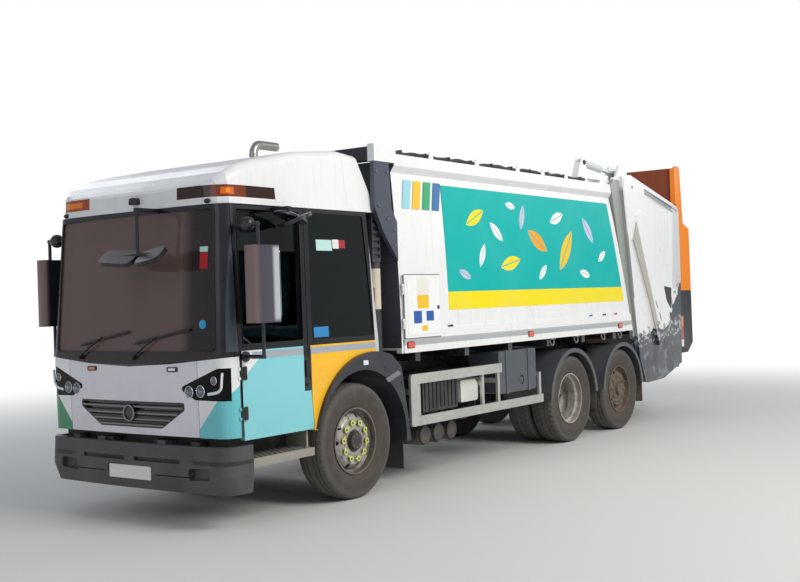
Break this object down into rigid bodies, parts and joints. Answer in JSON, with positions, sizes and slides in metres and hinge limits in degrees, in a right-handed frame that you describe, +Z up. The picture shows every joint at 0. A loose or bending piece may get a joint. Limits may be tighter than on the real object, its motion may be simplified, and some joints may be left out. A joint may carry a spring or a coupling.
{
  "type": "garbage truck",
  "caption": "Three-axle low-entry garbage truck with a high-roof cab, a bowed hollow refuse body, a lifting tailgate with packer and hopper, and a rear bin lift.",
  "frame": {"origin": "on the ground below the middle of the truck's overall box", "axes": "+X ahead along the truck's length, +Y to its left, +Z up"},
  "size_m": [10.0408, 2.8, 3.5898],
  "materials": {
    "white_paint": "gloss white paint",
    "blue_paint": "gloss light blue paint",
    "yellow_paint": "gloss yellow paint",
    "dark_steel": "dark chassis paint",
    "grey_steel": "worn grey paint",
    "orange_paint": "worn orange paint",
    "dark_plastic": "dark moulded plastic",
    "pale_plastic": "pale grey plastic",
    "lamp_clear": "clear lamp cover",
    "lamp_amber": "amber lamp cover",
    "lamp_red": "red lamp cover",
    "window_glass": "tinted glass",
    "seat_cloth": "dark teal seat cloth",
    "rod_chrome": "ground and plated rod",
    "cast_iron": "dusty cast iron",
    "tyre_rubber": "worn tyre",
    "rim_paint": "dusty silver paint",
    "tank_alloy": "dull alloy"
  },
  "bodies": {
    "chassis": {"chassis_frame": "dark_steel", "engine_block": "cast_iron", "axles": "dark_steel", "cab_floor": "dark_plastic", "cab_shell": "white_paint", "cab_roof": "white_paint", "cab_glass": "window_glass", "front_panel": "white_paint", "corner_panels": "white_paint", "grille": "dark_plastic", "headlamps": "lamp_clear", "bumper": "dark_plastic", "roof_lamps": "lamp_amber", "front_mirrors": "dark_plastic", "seats": "seat_cloth", "dashboard": "dark_plastic", "front_arches": "dark_plastic", "cab_steps": "dark_plastic", "side_boxes": "grey_steel", "air_tanks": "tank_alloy", "side_guards": "pale_plastic", "rear_mudguards": "dark_plastic", "intake_tower": "dark_plastic", "exhaust_stack": "grey_steel", "body_shell": "white_paint", "header_frame": "grey_steel"},
    "door_left": {"door_left": "blue_paint", "door_glass_left": "window_glass", "mirrors_left": "dark_plastic"},
    "door_right": {"door_right": "blue_paint", "door_glass_right": "window_glass", "mirrors_right": "dark_plastic"},
    "locker_door": {"locker_door": "white_paint"},
    "tailgate": {"tailgate_shell": "white_paint", "lift_frame": "orange_paint", "tail_lamps": "lamp_red"},
    "packer_carriage": {"packer_carriage": "grey_steel"},
    "packer_blade": {"packer_blade": "grey_steel"},
    "bin_lift": {"bin_lift": "orange_paint"},
    "ram_barrels": {"ram_barrels": "grey_steel"},
    "ram_rods": {"ram_rods": "rod_chrome"},
    "knuckle_front_left": {"knuckle_front_left": "cast_iron"},
    "knuckle_front_right": {"knuckle_front_right": "cast_iron"},
    "knuckle_third_left": {"knuckle_third_left": "cast_iron"},
    "knuckle_third_right": {"knuckle_third_right": "cast_iron"},
    "wheel_front_left": {"tyre_front_left": "tyre_rubber", "rim_front_left": "rim_paint"},
    "wheel_front_right": {"tyre_front_right": "tyre_rubber", "rim_front_right": "rim_paint"},
    "wheels_drive_left": {"tyres_drive_left": "tyre_rubber", "rims_drive_left": "rim_paint"},
    "wheels_drive_right": {"tyres_drive_right": "tyre_rubber", "rims_drive_right": "rim_paint"},
    "wheel_third_left": {"tyre_third_left": "tyre_rubber", "rim_third_left": "rim_paint"},
    "wheel_third_right": {"tyre_third_right": "tyre_rubber", "rim_third_right": "rim_paint"}
  },
  "joints": [
    {"name": "front_left_steer", "type": "hinge", "parent": "chassis", "child": "knuckle_front_left", "pos_m": [3.08, 0.869, 0.522], "axis": [0, 0, 1], "range_deg": [-35, 35]},
    {"name": "front_right_steer", "type": "hinge", "parent": "chassis", "child": "knuckle_front_right", "pos_m": [3.08, -0.869, 0.522], "axis": [0, 0, 1], "range_deg": [-35, 35]},
    {"name": "third_left_steer", "type": "hinge", "parent": "chassis", "child": "knuckle_third_left", "pos_m": [-2.45, 0.869, 0.522], "axis": [0, 0, 1], "range_deg": [-14, 14]},
    {"name": "third_right_steer", "type": "hinge", "parent": "chassis", "child": "knuckle_third_right", "pos_m": [-2.45, -0.869, 0.522], "axis": [0, 0, 1], "range_deg": [-14, 14]},
    {"name": "front_left_spin", "type": "hinge", "parent": "knuckle_front_left", "child": "wheel_front_left", "pos_m": [3.08, 0.931, 0.522], "axis": [0, 1, 0], "continuous": true},
    {"name": "front_right_spin", "type": "hinge", "parent": "knuckle_front_right", "child": "wheel_front_right", "pos_m": [3.08, -0.931, 0.522], "axis": [0, 1, 0], "continuous": true},
    {"name": "drive_left_spin", "type": "hinge", "parent": "chassis", "child": "wheels_drive_left", "pos_m": [-1.08, 0.931, 0.522], "axis": [0, 1, 0], "continuous": true},
    {"name": "drive_right_spin", "type": "hinge", "parent": "chassis", "child": "wheels_drive_right", "pos_m": [-1.08, -0.931, 0.522], "axis": [0, 1, 0], "continuous": true},
    {"name": "third_left_spin", "type": "hinge", "parent": "knuckle_third_left", "child": "wheel_third_left", "pos_m": [-2.45, 0.931, 0.522], "axis": [0, 1, 0], "continuous": true},
    {"name": "third_right_spin", "type": "hinge", "parent": "knuckle_third_right", "child": "wheel_third_right", "pos_m": [-2.45, -0.931, 0.522], "axis": [0, 1, 0], "continuous": true},
    {"name": "left_door", "type": "hinge", "parent": "chassis", "child": "door_left", "pos_m": [4.572, 1.113, 1.5], "axis": [0, 0, -1], "range_deg": [0, 70]},
    {"name": "right_door", "type": "hinge", "parent": "chassis", "child": "door_right", "pos_m": [4.572, -1.113, 1.5], "axis": [0, 0, 1], "range_deg": [0, 70]},
    {"name": "locker_door_hinge", "type": "hinge", "parent": "chassis", "child": "locker_door", "pos_m": [2.388, 1.13, 1.7], "axis": [0, 0, -1], "range_deg": [0, 100]},
    {"name": "tailgate_lift", "type": "hinge", "parent": "chassis", "child": "tailgate", "pos_m": [-2.47, 0, 3.14], "axis": [0, 1, 0], "range_deg": [0, 85]},
    {"name": "ram_swing", "type": "hinge", "parent": "chassis", "child": "ram_barrels", "pos_m": [-1.7, 0.985, 3.42], "axis": [0, 1, 0], "range_deg": [0, 1]},
    {"name": "ram_stroke", "type": "slide", "parent": "ram_barrels", "child": "ram_rods", "axis": [0.996, 0, 0.0896], "range_m": [0, 0.352]},
    {"name": "carriage_slide", "type": "slide", "parent": "tailgate", "child": "packer_carriage", "axis": [-0.373, 0, -0.9278], "range_m": [0, 0.6]},
    {"name": "blade_swing", "type": "hinge", "parent": "packer_carriage", "child": "packer_blade", "pos_m": [-3.03, 0, 1.93], "axis": [0, 1, 0], "range_deg": [0, 75]},
    {"name": "lift_swing", "type": "hinge", "parent": "tailgate", "child": "bin_lift", "pos_m": [-4.56, 0, 1.43], "axis": [0, 1, 0], "range_deg": [0, 125]}
  ],
  "couplings": [
    {"joint": "front_right_steer", "follows": "front_left_steer", "ratio": 1},
    {"joint": "third_left_steer", "follows": "front_left_steer", "ratio": -0.4},
    {"joint": "third_right_steer", "follows": "front_left_steer", "ratio": -0.4},
    {"joint": "ram_stroke", "follows": "tailgate_lift", "m_per_rad": 0.23673},
    {"joint": "ram_swing", "follows": "tailgate_lift", "ratio": 0.01175}
  ]
}
